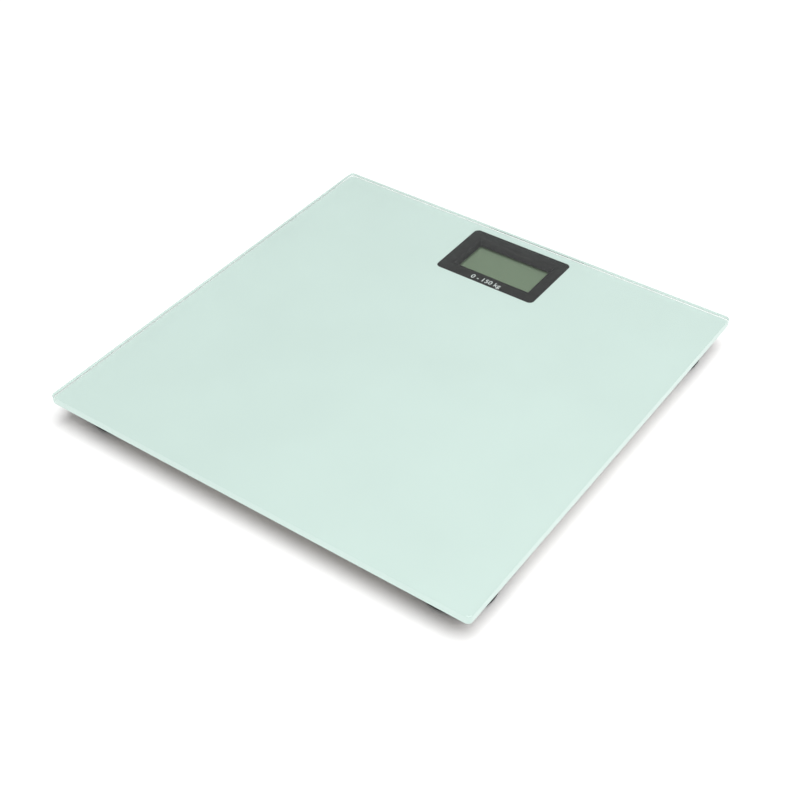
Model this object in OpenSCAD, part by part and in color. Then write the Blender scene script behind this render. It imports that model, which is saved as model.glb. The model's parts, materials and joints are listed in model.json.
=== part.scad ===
// Digital bathroom scale: a square glass platform on four load-cell feet, with a sunken display
// module under its rear edge. Millimetres, +Z up, +X right, +Y towards the display.
// The origin is on the floor, under the middle of the platform.

/* [Platform] */
// Width of the glass platform
plate_w = 300; // [280:5:360]
// Depth of the glass platform
plate_d = 300; // [290:5:360]
// Thickness of the glass
glass_t = 6; // [5:0.5:8]
// Height from the floor to the top of the glass
overall_h = 22; // [21:0.5:30]
// Radius of the platform's corners
corner_r = 3; // [2:0.5:12]
// Width of the polished bevel along the glass edges
arris = 0.6; // [0.3:0.1:1.2]

/* [Back print] */
// Thickness of the enamel on the underside of the glass
print_t = 0.2; // [0.1:0.05:0.4]
// Bare margin between the glass edge and the enamel
print_margin = 0.6; // [0.6:0.1:2]
// Width of the display window in the enamel
window_w = 75; // [70:1:78]
// Depth of the display window in the enamel
window_d = 51; // [49:0.2:54]
// Radius of the window's corners
window_r = 3.5; // [1:0.5:6]
// Distance from the window to the rear edge of the glass
window_gap = 6.1; // [4.6:0.1:7]

/* [Display module] */
// Width of the module
module_w = 84; // [84:1:110]
// Depth of the module
module_d = 88; // [88:1:110]
// Distance from the module to the rear edge of the glass
module_gap = 1; // [0.5:0.1:1.5]
// Radius of the module's corners
module_r = 3; // [2:0.5:6]
// Thickness of the bezel plate
bezel_t = 3.4; // [2.4:0.1:3.5]
// Height of the housing below the bezel
housing_h = 10; // [10:0.5:12]
// Thickness of the housing's walls
wall = 1.6; // [1.2:0.1:2]
// Thickness of the housing's floor
floor_t = 1.5; // [1.3:0.1:1.8]
// Width of the bezel's mouth at the glass
mouth_w = 58; // [56:1:60]
// Depth of the bezel's mouth at the glass
mouth_d = 33.6; // [30:0.2:36]
// Width of the display area that shows
view_w = 54; // [48:1:55]
// Depth of the display area that shows
view_d = 27; // [24:1:30]
// How far the display sits behind the middle of the window
view_shift = 1.3; // [0:0.1:1.5]
// Thickness of the adhesive tape on the bezel
tape_t = 0.5; // [0.3:0.1:0.8]

/* [Electronics] */
// Width of the LCD panel
lcd_w = 60; // [58:1:64]
// Depth of the LCD panel
lcd_d = 35; // [33:1:36]
// Thickness of the LCD panel
lcd_t = 2; // [1.6:0.1:2.4]
// Gap between the bezel's lip and the LCD panel below it
lcd_gap = 1; // [0.6:0.1:1.4]
// Height of the connector strips between the LCD and the board
strip_h = 1.6; // [1.4:0.1:2]
// Thickness of the circuit board
board_t = 1; // [0.8:0.1:1.2]
// Gap between the circuit board and the housing's walls
board_gap = 1.4; // [0.5:0.1:2]
// Travel of the unit button
button_travel = 0.5; // [0.3:0.1:0.5]
// Radius of the unit button
button_r = 4; // [3:0.5:5]
// Radial clearance round the unit button
button_fit = 0.1; // [0.05:0.05:0.1]

/* [Battery] */
// Radius of the coin cell
cell_r = 10; // [8:0.5:10.5]
// Thickness of the coin cell
cell_t = 3.2; // [1.6:0.4:3.2]
// Thickness of the battery door
door_t = 1.4; // [1.2:0.1:1.6]
// Radius of the door's hinge barrel
barrel_r = 1; // [0.9:0.1:1.1]
// Radius of the door's hinge pins
pin_r = 0.7; // [0.5:0.1:0.8]
// Radial clearance of the hinge pins
pin_fit = 0.05; // [0.02:0.01:0.1]
// Gap round the battery door
door_gap = 0.3; // [0.2:0.05:0.4]

/* [Feet] */
// Radius of the feet
foot_r = 22.5; // [22:0.5:26]
// Distance from the side edge of the glass to a foot's centre
foot_inset_x = 28; // [24:1:40]
// Distance from the front or rear edge of the glass to a foot's centre
foot_inset_y = 32; // [28:1:40]
// Upward travel of a foot cap at full load
foot_travel = 0.4; // [0.2:0.1:0.6]
// Thickness of the adhesive pad on a foot
pad_t = 0.8; // [0.5:0.1:1.2]
// Thickness of a foot housing's roof
roof_t = 2; // [1.6:0.2:2.4]
// Thickness of a foot housing's wall
foot_wall = 2; // [1.8:0.2:2.4]
// Width of the square load cell
load_cell_w = 30; // [28:1:31]
// Thickness of the load cell
load_cell_t = 1.6; // [1.4:0.2:2]
// Room for wires above a load cell
wire_room = 2.4; // [2.2:0.1:3]
// Thickness of a rubber foot pad
rubber_t = 2; // [1.6:0.2:2.4]
// Radius of a rubber foot pad
rubber_r = 19.5; // [16:0.5:20]

/* [Wiring] */
// Radius of a wire's insulation
wire_r = 0.6; // [0.4:0.1:0.6]
// Spacing of neighbouring wires
wire_pitch = 1.5; // [1.4:0.1:1.6]
// Thickness of a wire duct's walls
duct_wall = 1; // [0.8:0.1:1.2]

/* [Hidden] */
$fn = 64;

// Overshoot of a cut past the face it opens, and the smallest gap between pieces that only meet
cut = 1;
touch_gap = 0.05;

// Heights of the platform
glass_z = overall_h - glass_t;
print_z = glass_z - print_t;

// Heights in the display module, from the glass down
bezel_z = print_z - bezel_t;
lcd_z = bezel_z - lcd_gap - lcd_t;
board_top = lcd_z - strip_h;
board_z = board_top - board_t;
housing_z = bezel_z - housing_h;
floor_z = housing_z + floor_t;
housing_chamfer = 1;

// Plan of the display module
module_rear = plate_d / 2 - module_gap;
module_front = module_rear - module_d;
module_y = module_rear - module_d / 2;
inner_w = module_w - 2 * wall;
inner_rear = module_rear - wall;
inner_front = module_front + wall;
window_y = plate_d / 2 - window_gap - window_d / 2;
view_y = window_y + view_shift;
rib_t = 1;
rib_h = lcd_gap + 1.6;
rib_fit = 0.15;
ledge = 1.5;
tape_margin = 1;
tape_lap = 1.5;

// Screws that close the module: two pairs through the board and one pair in front of it
shank_r = 1;
shank_fit = 0.02;
screw_hole_r = 1.2;
screw_head_r = 2;
screw_head_h = 1.2;
head_hole_r = 2.3;
tube_r = 3.2;
boss_r = 2.8;
thread_depth = 1;
thread_slack = 0.5;
driver_w = 2.4;
driver_t = 0.5;
screw_inset = wall + 5.4;
board_screw_y = [view_y - lcd_d / 2 - 4.1, view_y + lcd_d / 2 + 4.9];
front_screw_y = inner_front + 3.4;
screw_x = module_w / 2 - screw_inset;

// Circuit board: a plate behind the battery block, with a tongue that reaches the unit button
board_w = inner_w - 2 * board_gap - 2;
board_rear = inner_rear - board_gap;
board_front = board_screw_y[0] - 5;
button_x = 20;
button_y = inner_front + 15.4;
tongue_w = 24;
tongue_front = button_y - 10;
resistor = [1.6, 0.8, 0.5];
capacitor = [3.2, 1.6, 1.2];
amplifier = [7, 3.2, 1.4];
resistor_at = [button_x - 9, board_front - 4];
capacitor_at = [button_x - 4, board_front - 5];
amplifier_at = [button_x + 5, board_front - 6];
component_pitch = 2.4;
chip_r = 7;
chip_h = 1.2;
strip_w = 2;
strip_l = lcd_w - 4;

// Unit button and its switch
switch_w = 6;
switch_h = 1.5;
plunger_r = 1;
plunger_out = 0.4;
plunger_in = 0.7;
flange_t = 0.6;
flange_lap = 1;
button_recess = 0.3;
switch_z = board_z - switch_h;
plunger_z = switch_z - plunger_out;

// Battery pocket: a block on the housing's floor, closed below by the door
pocket_fit = 0.3;
door_margin = 2;
cell_x = -16;
cell_y = module_front + 16.5;
pocket_half_x = cell_r + door_margin;
pocket_end = 2.5;
pocket_front = cell_y - cell_r - pocket_end;
pocket_rear = cell_y + cell_r + pocket_end;
block_wall = 1.4;
door_room = 0.5;
cell_z = housing_z + door_t + door_room + 0.1;
cell_top = cell_z + cell_t;
contact_room = 1.2;
block_roof = 1.2;
block_top = cell_top + contact_room + block_roof;
hinge_y = pocket_front + door_gap + barrel_r;
hinge_z = housing_z + barrel_r;
pin_l = 1.1;
notch_r = 5;
notch_depth = 1;
nub_w = 6;
nub_r = 0.2;
grip_w = 12;
grip_t = 0.8;
grip_depth = 0.4;
grip_pitch = 1.6;
grip_inset = 3;
contact_t = 0.3;
plus_w = 8;
plus_leg_w = 4;
minus_leg_w = 3;
minus_leg_x = cell_x + 6.5;
minus_plate_w = 4;
leg_reach = 4;
spring_dimple_r = 1.5;

// Feet, from the glass down
foot_x = plate_w / 2 - foot_inset_x;
foot_y = plate_d / 2 - foot_inset_y;
pad_z = print_z - pad_t;
roof_z = pad_z - roof_t;
cell_plate_top = roof_z - wire_room;
cell_plate_z = cell_plate_top - load_cell_t;
foot_bore_r = foot_r - foot_wall;
foot_edge = 0.8;
pad_inset = 1.5;

// Load cell: a square plate whose U-shaped slot leaves a tongue, on four posts of the housing
cell_corner_r = 4;
hole_inset = 3;
hole_at = load_cell_w / 2 - hole_inset;
stake_r = 1.4;
stake_fit = 0.05;
stake_head_r = 2;
stake_head_t = 0.6;
post_r = 2.2;
slot_w = 1.6;
spring_w = 10.8;
spring_tip = 6.4;
spring_root = 9;
gauge_w = 5.2;
gauge_start = 4;
gauge_end = 9.5;
gauge_h = wire_room - 0.4;
gauge_r = 1;
gauge_chamfer = 0.4;

// Foot cap: a dish with a boss under the load cell's tongue and three snap legs in the housing
rubber_recess = 0.8;
rubber_fit = 0.05;
cap_z = rubber_t - rubber_recess;
cap_floor_t = 2.4;
cap_h = 3.8;
cap_floor = cap_z + cap_floor_t;
cap_top = cap_z + cap_h;
stop_gap = 0.1;
foot_housing_z = cap_top + foot_travel + stop_gap;
cap_wall = 1.6;
leg_fit = 0.1;
leg_t = 1.8;
leg_root = 0.6;
barb = 0.8;
barb_h = 0.7;
barb_z = foot_housing_z + 1.2;
leg_angle = 40;
pocket_angle = 46;
boss_big_r = 5;
boss_tip_r = 2.5;
boss_tip_h = 1.2;
web_t = 1.2;
web_h = 1.4;
groove_d = 0.6;
groove_w = 1.2;
groove_inset = [8, 4];

// Wires and ducts
wire_z = min(roof_z - 1, bezel_z - wire_r - touch_gap);
duct_floor_z = wire_z - wire_r;
duct_z = duct_floor_z - duct_wall;
duct_slack = 0.4;
duct_chamfer = 0.6;
slot_z = duct_floor_z - 0.1;
side_half = wire_pitch + wire_r + duct_slack;
wire_gap = 0.3;
bundle_gap = gauge_w / 2 + wire_gap + wire_r;
rear_reach = bundle_gap + 2 * wire_pitch + wire_r + duct_slack;
rear_duct_y = foot_y + (side_half - rear_reach) / 2;
rear_half = (side_half + rear_reach) / 2;
bend_r = 6;
drop_r = 2;
drop_x = board_w / 2 - 2;
bend_x = foot_x - wire_pitch - bend_r;
bend_y = foot_y - bundle_gap - 2 * wire_pitch - bend_r;
duct_fit = 0.1;

// ---- shared shapes ----

// A rounded slab with bevelled lower and upper edges, its base on z = 0
module slab(w, d, h, r, low = 0, high = 0) {
    side = [[0, 0], [r - low, 0], [r, low], [r, h - high], [r - high, h], [0, h]];
    for (x = [-1, 1], y = [-1, 1])
        translate([x * (w / 2 - r), y * (d / 2 - r), 0])
            rotate_extrude()
                polygon(side);
    slab_bar(w, d, h, r, low, high);
    rotate([0, 0, 90])
        slab_bar(d, w, h, r, low, high);
}

// One of the two bars of a slab, bevelled along its long edges
module slab_bar(w, d, h, r, low, high) {
    y = d / 2;
    outline = [[-y + low, 0], [y - low, 0], [y, low], [y, h - high],
        [y - high, h], [-y + high, h], [-y, h - high], [-y, low]];
    translate([-w / 2 + r, 0, 0])
        rotate([90, 0, 90])
            linear_extrude(w - 2 * r)
                polygon(outline);
}

// A box given by its lowest corner and its highest corner
module box(low, high) {
    translate(low)
        cube(high - low);
}

// What is drawn for the right side (1), or mirrored for the left side (-1)
module on_side(x) {
    mirror([x < 0 ? 1 : 0, 0, 0])
        children();
}

// A cylinder from one height to another
module post(r, z0, z1) {
    translate([0, 0, z0])
        cylinder(r = r, h = z1 - z0);
}

// ---- platform ----

module glass_platform() {
    color("azure", 0.5)
        translate([0, 0, glass_z])
            slab(plate_w, plate_d, glass_t, corner_r, arris, arris);
}

module back_print() {
    color("honeydew")
        translate([0, 0, print_z])
            difference() {
                slab(plate_w - 2 * print_margin, plate_d - 2 * print_margin, print_t, corner_r);
                translate([0, window_y, -cut])
                    slab(window_w, window_d, print_t + 2 * cut, window_r);
            }
}

// ---- display module ----

// The U-shaped area of the bezel's top that carries tape, outside the window
module tape_area(h) {
    side_x = window_w / 2 + tape_lap;
    front_y = window_y - window_d / 2 - tape_lap;
    half = module_w / 2 - tape_margin;
    box([-half, module_front + tape_margin, 0], [half, front_y, h]);
    for (x = [-1, 1])
        translate([x * (side_x + half) / 2, 0, 0])
            box([(side_x - half) / 2, front_y, 0], [(half - side_x) / 2, module_rear - module_r, h]);
}

module housing_tape() {
    color("gainsboro")
        translate([0, 0, print_z - tape_t])
            tape_area(tape_t);
}

module at_board_screws() {
    for (x = [-1, 1], y = board_screw_y)
        translate([x * screw_x, y, 0])
            children();
}

module at_front_screws() {
    for (x = [-1, 1])
        translate([x * screw_x, front_screw_y, 0])
            children();
}

module display_bezel() {
    color([0.27, 0.27, 0.28])
        difference() {
            union() {
                translate([0, module_y, bezel_z])
                    slab(module_w, module_d, bezel_t, module_r);
                at_board_screws()
                    post(boss_r, board_top, bezel_z);
                at_front_screws()
                    post(boss_r, board_z, bezel_z);
                lcd_rib();
            }
            translate([0, 0, print_z - tape_t])
                tape_area(tape_t + cut);
            translate([0, view_y, 0])
                mouth();
            at_board_screws()
                post(shank_r + shank_fit, board_z - cut, bezel_z + thread_depth);
            at_front_screws()
                post(shank_r + shank_fit, board_z - cut, bezel_z + thread_depth);
        }
}

// The sunken mouth over the display: its walls slope in from the glass to the LCD
module mouth() {
    slope_w = (mouth_w - view_w) / bezel_t;
    slope_d = (mouth_d - view_d) / bezel_t;
    skin = 0.01;
    hull() {
        translate([0, 0, print_z + cut])
            cube([mouth_w + slope_w * cut, mouth_d + slope_d * cut, skin], center = true);
        translate([0, 0, bezel_z - cut])
            cube([view_w - slope_w * cut, view_d - slope_d * cut, skin], center = true);
    }
}

// The frame under the bezel that surrounds the LCD, with a ledge that rests on its border
module lcd_rib() {
    w = lcd_w / 2 + rib_fit;
    d = lcd_d / 2 + rib_fit;
    open_w = lcd_w / 2 - ledge;
    open_d = lcd_d / 2 - ledge;
    translate([0, view_y, bezel_z - rib_h])
        difference() {
            box([-w - rib_t, -d - rib_t, 0], [w + rib_t, d + rib_t, rib_h]);
            box([-w, -d, -cut], [w, d, rib_h - lcd_gap]);
            box([-open_w, -open_d, -cut], [open_w, open_d, rib_h + cut]);
        }
}

module lcd_panel() {
    color([0.48, 0.55, 0.47])
        translate([-lcd_w / 2, view_y - lcd_d / 2, lcd_z])
            cube([lcd_w, lcd_d, lcd_t]);
}

module lcd_connector() {
    color("dimgray")
        for (y = [-1, 1])
            translate([0, view_y + y * (lcd_d / 2 - strip_w), board_top])
                box([-strip_l / 2, -strip_w / 2, 0], [strip_l / 2, strip_w / 2, strip_h]);
}

module circuit_board() {
    color("darkgreen")
        difference() {
            union() {
                box([-board_w / 2, board_front, board_z], [board_w / 2, board_rear, board_top]);
                box([button_x - tongue_w / 2, tongue_front, board_z],
                    [button_x + tongue_w / 2, board_front, board_top]);
            }
            at_board_screws()
                post(screw_hole_r, board_z - cut, board_top + cut);
        }
}

// The potted chip: a low dome
module board_chip() {
    dome_r = (chip_r * chip_r + chip_h * chip_h) / (2 * chip_h);
    color("black")
        translate([0, view_y, board_top])
            intersection() {
                translate([0, 0, chip_h - dome_r])
                    sphere(r = dome_r, $fn = 96);
                cylinder(r = chip_r + cut, h = chip_h);
            }
}

// Resistors, capacitors and the load cells' amplifier on the board's tongue
module board_components() {
    color("tan") {
        for (i = [0 : 3])
            component(resistor, resistor_at - [0, i * component_pitch]);
        for (i = [0 : 1])
            component(capacitor, capacitor_at - [0, 2 * i * component_pitch]);
        component(amplifier, amplifier_at);
    }
}

module component(size, at) {
    translate([at[0], at[1], board_top + size[2] / 2])
        cube(size, center = true);
}

module unit_switch() {
    half = switch_w / 2;
    color("silver")
        translate([button_x, button_y, 0])
            difference() {
                box([-half, -half, switch_z], [half, half, board_z]);
                post(plunger_r + touch_gap, switch_z - cut,
                    switch_z + plunger_in + button_travel + touch_gap);
            }
}

module switch_plunger() {
    color("black")
        translate([button_x, button_y, 0])
            post(plunger_r, plunger_z, switch_z + plunger_in);
}

module unit_button() {
    flange_z = floor_z + touch_gap;
    color("slategray")
        translate([button_x, button_y, 0]) {
            post(button_r, housing_z + button_recess, flange_z);
            post(button_r + flange_lap, flange_z, flange_z + flange_t);
            post(plunger_r, flange_z + flange_t, plunger_z);
        }
}

module display_housing() {
    color([0.16, 0.16, 0.17])
        difference() {
            union() {
                difference() {
                    translate([0, module_y, housing_z])
                        slab(module_w, module_d, housing_h, module_r, housing_chamfer);
                    translate([0, module_y, floor_z])
                        slab(inner_w, module_d - 2 * wall, housing_h, module_r - wall);
                }
                at_board_screws()
                    post(tube_r, housing_z + floor_t / 2, board_z);
                at_front_screws()
                    post(tube_r, housing_z + floor_t / 2, board_z);
                battery_block();
            }
            at_board_screws()
                screw_passage();
            at_front_screws()
                screw_passage();
            translate([button_x, button_y, 0])
                post(button_r + button_fit, housing_z - cut, floor_z + cut);
            battery_pocket();
            for (x = [-1, 1])
                translate([x * module_w / 2, rear_duct_y, 0])
                    box([-wall - cut, -rear_half, slot_z], [wall + cut, rear_half, bezel_z + cut]);
        }
}

module screw_passage() {
    post(head_hole_r, housing_z - cut, floor_z);
    post(screw_hole_r, floor_z - cut, board_z + cut);
}

module battery_block() {
    x = pocket_half_x + block_wall;
    translate([cell_x, 0, 0])
        box([-x, pocket_front - block_wall, housing_z + floor_t / 2],
            [x, pocket_rear + block_wall, block_top]);
}

module battery_pocket() {
    door_top = housing_z + door_t + door_room;
    barrel_top = hinge_z + barrel_r + door_gap;
    pin_reach = pocket_half_x + pin_l;
    translate([cell_x, 0, 0]) {
        box([-pocket_half_x, pocket_front, housing_z - cut], [pocket_half_x, pocket_rear, door_top]);
        box([-pocket_half_x, pocket_front, housing_z],
            [pocket_half_x, hinge_y + barrel_r + door_gap, barrel_top]);
        translate([0, cell_y, 0])
            post(cell_r + pocket_fit, door_top - cut, cell_top + contact_room);
        translate([-pin_reach, hinge_y, hinge_z])
            rotate([0, 90, 0])
                cylinder(r = pin_r + pin_fit, h = 2 * pin_reach);
        translate([0, pocket_rear, 0])
            post(notch_r, housing_z - cut, housing_z + notch_depth);
    }
    contact_channel(cell_x, plus_w + 2 * pocket_fit, cell_z);
    contact_channel(minus_leg_x, minus_leg_w + 2 * pocket_fit, cell_top);
}

// A channel from the pocket back through the block's wall, for one contact
module contact_channel(x, w, z) {
    box([x - w / 2, cell_y, z], [x + w / 2, pocket_rear + block_wall + cut, cell_top + contact_room]);
}

module housing_screws() {
    color("silver") {
        at_board_screws()
            housing_screw();
        at_front_screws()
            housing_screw();
    }
}

module housing_screw() {
    head_z = floor_z - screw_head_h;
    difference() {
        union() {
            post(screw_head_r, head_z, floor_z);
            post(shank_r, floor_z, bezel_z + thread_depth - thread_slack);
        }
        for (turn = [0, 90])
            rotate([0, 0, turn])
                box([-driver_w / 2, -driver_t / 2, head_z - cut],
                    [driver_w / 2, driver_t / 2, head_z + driver_t]);
    }
}

module battery_door() {
    half = pocket_half_x - door_gap;
    pin_half = half + door_gap + pin_l - touch_gap;
    edge_y = pocket_rear - door_gap;
    color([0.2, 0.2, 0.21])
        translate([cell_x, 0, 0]) {
            difference() {
                box([-half, hinge_y, housing_z], [half, edge_y, housing_z + door_t]);
                for (i = [0 : 2])
                    translate([0, edge_y - grip_inset - grip_pitch * i, housing_z])
                        box([-grip_w / 2, -grip_t / 2, -cut], [grip_w / 2, grip_t / 2, grip_depth]);
            }
            translate([-half, hinge_y, hinge_z])
                rotate([0, 90, 0])
                    cylinder(r = barrel_r, h = 2 * half);
            translate([-pin_half, hinge_y, hinge_z])
                rotate([0, 90, 0])
                    cylinder(r = pin_r, h = 2 * pin_half);
            box([-nub_w / 2, edge_y, housing_z + notch_depth + touch_gap],
                [nub_w / 2, edge_y + nub_r, housing_z + door_t]);
        }
}

module coin_cell() {
    edge = 0.3;
    shoulder = 0.6;
    can = cell_r - shoulder;
    color("lightgray")
        translate([cell_x, cell_y, cell_z])
            rotate_extrude()
                polygon([[0, 0], [cell_r - edge, 0], [cell_r, edge], [cell_r, cell_t - edge],
                    [can, cell_t - edge], [can - edge, cell_t], [0, cell_t]]);
}

module contact_positive() {
    y0 = cell_y + cell_r;
    color("gold") {
        box([cell_x - plus_w / 2, y0, cell_z + contact_t], [cell_x + plus_w / 2, y0 + contact_t, board_top]);
        box([cell_x - plus_leg_w / 2, y0, board_top],
            [cell_x + plus_leg_w / 2, board_front + leg_reach, board_top + contact_t]);
    }
}

module contact_negative() {
    low = max(cell_top, board_top) + contact_t;
    half = minus_leg_w / 2;
    plate = minus_plate_w / 2;
    color("gold") {
        box([cell_x - plate, cell_y - plate, low],
            [minus_leg_x - half, cell_y + plate, low + contact_t]);
        box([minus_leg_x - half, cell_y - plate, low],
            [minus_leg_x + half, board_front + leg_reach, low + contact_t]);
        box([minus_leg_x - half, board_front + leg_reach / 2, board_top],
            [minus_leg_x + half, board_front + leg_reach, low]);
        translate([cell_x, cell_y, 0])
            post(spring_dimple_r, cell_top, low);
    }
}

// ---- wire ducts ----

// The cross-section of a duct: a channel open towards the glass
module duct_section(half) {
    w = half + duct_wall;
    h = print_z - duct_z;
    difference() {
        polygon([[-w + duct_chamfer, 0], [w - duct_chamfer, 0], [w, duct_chamfer], [w, h],
            [-w, h], [-w, duct_chamfer]]);
        translate([-half, duct_wall])
            square([2 * half, h]);
    }
}

module side_duct(side) {
    reach = foot_y;
    color("whitesmoke")
        difference() {
            translate([side * foot_x, reach, duct_z])
                rotate([90, 0, 0])
                    linear_extrude(2 * reach)
                        duct_section(side_half);
            for (y = [-1, 1])
                translate([side * foot_x, y * foot_y, 0])
                    post(foot_r + duct_fit, duct_z - cut, print_z + cut);
        }
}

module rear_duct(side) {
    start = module_w / 2 + duct_fit;
    color("whitesmoke")
        on_side(side)
            difference() {
                translate([start, rear_duct_y, duct_z])
                    rotate([90, 0, 90])
                        linear_extrude(foot_x - start)
                            duct_section(rear_half);
                translate([foot_x, foot_y, 0])
                    post(foot_r + duct_fit, duct_z - cut, print_z + cut);
            }
}

// ---- feet ----

module at_foot(x, y) {
    translate([x * foot_x, y * foot_y, 0])
        children();
}

// Turns a load cell so that its root faces the way its wires leave
module towards_exit(x, y) {
    rotate([0, 0, y < 0 ? 90 : (x > 0 ? 180 : 0)])
        children();
}

module foot_tape(x, y) {
    color("gainsboro")
        at_foot(x, y)
            post(foot_r - pad_inset, pad_z, print_z);
}

module foot_housing(x, y) {
    color([0.2, 0.2, 0.21])
        at_foot(x, y) {
            difference() {
                rotate_extrude()
                    polygon([[0, roof_z], [foot_bore_r, roof_z], [foot_bore_r, foot_housing_z],
                        [foot_r, foot_housing_z], [foot_r, pad_z - foot_edge],
                        [foot_r - foot_edge, pad_z], [0, pad_z]]);
                for (turn = [0, 120, 240])
                    rotate([0, 0, turn - pocket_angle / 2])
                        barb_pocket();
                wire_slots(x, y);
            }
            for (px = [-hole_at, hole_at], py = [-hole_at, hole_at])
                translate([px, py, 0]) {
                    post(post_r, cell_plate_top, roof_z);
                    post(stake_r, cell_plate_z, cell_plate_top);
                    post(stake_head_r, cell_plate_z - stake_head_t, cell_plate_z);
                }
        }
}

// The pocket in the foot housing's wall that holds a snap leg's barb
module barb_pocket() {
    low = barb_z - stop_gap;
    high = barb_z + barb_h + foot_travel + stop_gap;
    outer = foot_bore_r + barb;
    rotate_extrude(angle = pocket_angle)
        polygon([[foot_bore_r - cut, low], [outer, low], [outer, high], [foot_bore_r - cut, high]]);
}

// Openings in a foot housing's wall for the wires, on the sides where a duct joins it
module wire_slots(x, y) {
    reach = foot_r + cut;
    box([-side_half, -y * reach / 2 - reach / 2, slot_z], [side_half, -y * reach / 2 + reach / 2, roof_z]);
    if (y > 0) {
        mid = rear_duct_y - foot_y;
        box([-x * reach / 2 - reach / 2, mid - rear_half, slot_z],
            [-x * reach / 2 + reach / 2, mid + rear_half, roof_z]);
    }
}

module load_cell(x, y) {
    half = load_cell_w / 2;
    inner = half - cell_corner_r;
    color("lightsteelblue")
        at_foot(x, y)
            towards_exit(x, y)
                difference() {
                    union() {
                        box([-half, -inner, cell_plate_z], [half, inner, cell_plate_top]);
                        box([-inner, -half, cell_plate_z], [inner, half, cell_plate_top]);
                        for (px = [-inner, inner], py = [-inner, inner])
                            translate([px, py, 0])
                                post(cell_corner_r, cell_plate_z, cell_plate_top);
                    }
                    for (px = [-hole_at, hole_at], py = [-hole_at, hole_at])
                        translate([px, py, 0])
                            post(stake_r + stake_fit, cell_plate_z - cut, cell_plate_top + cut);
                    tongue_slot();
                }
}

// The U-shaped slot that frees the load cell's tongue
module tongue_slot() {
    y1 = spring_w / 2;
    y2 = y1 + slot_w;
    low = cell_plate_z - cut;
    high = cell_plate_top + cut;
    box([-spring_tip - slot_w, -y2, low], [-spring_tip, y2, high]);
    box([-spring_tip - cut, -y2, low], [spring_root, -y1, high]);
    box([-spring_tip - cut, y1, low], [spring_root, y2, high]);
}

module strain_gauge(x, y) {
    l = gauge_end - gauge_start;
    color("ivory")
        at_foot(x, y)
            towards_exit(x, y)
                translate([gauge_start + l / 2, 0, cell_plate_top])
                    slab(l, gauge_w, gauge_h, gauge_r, 0, gauge_chamfer);
}

module foot_cap(x, y) {
    leg_r = foot_bore_r - leg_fit;
    leg_top = barb_z + barb_h;
    tip_z = cell_plate_z - touch_gap;
    color([0.14, 0.14, 0.15])
        at_foot(x, y) {
            rotate_extrude()
                polygon([[0, rubber_t], [rubber_r + rubber_fit, rubber_t], [rubber_r + rubber_fit, cap_z],
                    [foot_r - foot_edge, cap_z], [foot_r, cap_z + foot_edge], [foot_r, cap_top],
                    [foot_r - cap_wall, cap_top], [foot_r - cap_wall, cap_floor], [0, cap_floor]]);
            for (turn = [0, 120, 240])
                rotate([0, 0, turn - leg_angle / 2])
                    rotate_extrude(angle = leg_angle)
                        polygon([[leg_r - leg_t, cap_floor - leg_root],
                            [leg_r, cap_floor - leg_root], [leg_r, barb_z],
                            [leg_r + barb, barb_z], [leg_r, leg_top], [leg_r - leg_t, leg_top]]);
            post(boss_big_r, cap_floor, tip_z - boss_tip_h);
            post(boss_tip_r, tip_z - boss_tip_h, tip_z);
            difference() {
                for (turn = [0, 60, 120])
                    rotate([0, 0, turn + 30])
                        box([-leg_r + leg_t, -web_t / 2, cap_floor],
                            [leg_r - leg_t, web_t / 2, cap_floor + web_h]);
                post(boss_big_r, cap_floor - cut, cap_floor + web_h + cut);
            }
        }
}

module foot_pad(x, y) {
    edge = 0.5;
    color([0.3, 0.3, 0.31])
        at_foot(x, y)
            difference() {
                rotate_extrude()
                    polygon([[0, 0], [rubber_r - edge, 0], [rubber_r, edge],
                        [rubber_r, rubber_t], [0, rubber_t]]);
                for (inset = groove_inset)
                    difference() {
                        post(rubber_r - inset + groove_w, -cut, groove_d);
                        post(rubber_r - inset, -2 * cut, groove_d + cut);
                    }
            }
}

// ---- wires ----

// A run of wire along X, along Y or down, and a quarter bend in the plane of its two runs
module wire_along_x(x0, x1, y, z) {
    translate([x0, y, z])
        rotate([0, 90, 0])
            cylinder(r = wire_r, h = x1 - x0, $fn = 24);
}

module wire_along_y(x, y0, y1, z) {
    translate([x, y0, z])
        rotate([-90, 0, 0])
            cylinder(r = wire_r, h = y1 - y0, $fn = 24);
}

module quarter_bend(r) {
    rotate_extrude(angle = 90)
        translate([r, 0])
            circle(r = wire_r, $fn = 24);
}

// The last stretch of a wire: along the rear duct, into the module and down to the board
module wire_to_board(x_from, y) {
    wire_along_x(drop_x + drop_r, x_from, y, wire_z);
    translate([drop_x + drop_r, y, wire_z - drop_r])
        rotate([90, 0, 0])
            rotate([0, 0, 90])
                quarter_bend(drop_r);
    translate([drop_x, y, board_top])
        cylinder(r = wire_r, h = wire_z - drop_r - board_top, $fn = 24);
}

// Three wires from a front load cell, along the side duct and round inside the rear foot
module front_wires(x) {
    color("firebrick")
        on_side(x)
            for (i = [0 : 2]) {
                r = bend_r + i * wire_pitch;
                wire_along_y(bend_x + r, -foot_y + gauge_end, bend_y, wire_z);
                translate([bend_x, bend_y, wire_z])
                    quarter_bend(r);
                wire_to_board(bend_x, bend_y + r);
            }
}

// Three wires from a rear load cell
module rear_wires(x) {
    color("firebrick")
        on_side(x)
            for (i = [-1 : 1])
                wire_to_board(foot_x - gauge_end, foot_y + i * wire_pitch);
}

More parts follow.
